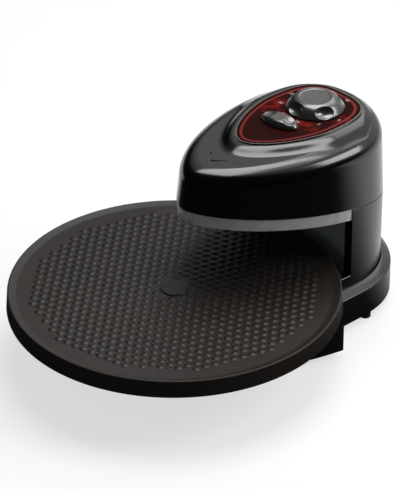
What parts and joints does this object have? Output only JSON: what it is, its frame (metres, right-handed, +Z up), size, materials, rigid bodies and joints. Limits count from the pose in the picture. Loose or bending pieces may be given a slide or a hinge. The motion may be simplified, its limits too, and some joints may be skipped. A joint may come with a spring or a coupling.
{
  "type": "rotating countertop pizza oven",
  "caption": "Countertop pizza cooker: an open round pan turns under a teardrop head on a rear tower, between an upper and a lower heater, with a timer knob and a heat selector knob.",
  "frame": {"origin": "centre of the footprint, on the table under the rubber feet", "axes": "+Z up, +Y from the pan towards the tower at the rear, +X to the right seen from the front"},
  "size_m": [0.3424, 0.4496, 0.2257],
  "materials": {
    "gloss_black": "high gloss",
    "matte_black": "matt",
    "black_rubber": "matt",
    "sheet_steel": "bright rolled",
    "bright_steel": "plated",
    "element_sheath": "dull dark sheath",
    "pan_coating": "dark non-stick coating, satin",
    "brass": "plain",
    "knob_grey": "satin metallic grey",
    "plate_red": "gloss, dark red print",
    "trim_silver": "bright",
    "white_ceramic": "unglazed"
  },
  "bodies": {
    "housing": {"head_shell": "gloss_black", "tower_shell": "gloss_black", "plinth": "gloss_black", "heater_housing": "gloss_black", "bottom_cover": "matte_black", "rubber_feet": "black_rubber", "cover_screws": "bright_steel", "heat_band": "sheet_steel", "upper_reflector": "sheet_steel", "upper_element": "element_sheath", "upper_element_clips": "sheet_steel", "heat_shield": "sheet_steel", "chamber_wall": "sheet_steel", "lower_reflector": "sheet_steel", "lower_element": "element_sheath", "lower_element_clips": "sheet_steel", "chassis": "sheet_steel", "head_screws": "bright_steel", "drive_motor": "bright_steel", "motor_screws": "bright_steel", "spindle_bush": "brass", "control_plate": "plate_red", "plate_trim": "trim_silver", "timer_case": "sheet_steel", "timer_bell": "brass", "selector_switch": "matte_black", "shaft_nuts": "bright_steel", "thermal_cutout": "white_ceramic", "terminal_block": "white_ceramic", "cord_bushing": "black_rubber"},
    "spindle": {"drive_spindle": "bright_steel"},
    "pan": {"pan": "pan_coating", "hub_cap": "pan_coating", "drive_socket": "bright_steel", "hub_rivets": "bright_steel"},
    "timer": {"timer_shaft": "bright_steel", "timer_knob": "knob_grey"},
    "selector": {"selector_shaft": "bright_steel", "selector_knob": "knob_grey"}
  },
  "joints": [
    {"name": "pan_spin", "type": "hinge", "parent": "housing", "child": "spindle", "pos_m": [0, -0.05364, 0.04], "axis": [0, 0, 1], "continuous": true},
    {"name": "pan_lift", "type": "slide", "parent": "spindle", "child": "pan", "axis": [0, 0, 1], "range_m": [0, 0.02]},
    {"name": "timer_turn", "type": "hinge", "parent": "housing", "child": "timer", "pos_m": [0, 0.14034, 0.214], "axis": [0, 0, -1], "range_deg": [0, 300]},
    {"name": "selector_turn", "type": "hinge", "parent": "housing", "child": "selector", "pos_m": [0, 0.09034, 0.214], "axis": [0, 0, -1], "range_deg": [-45, 45]}
  ]
}
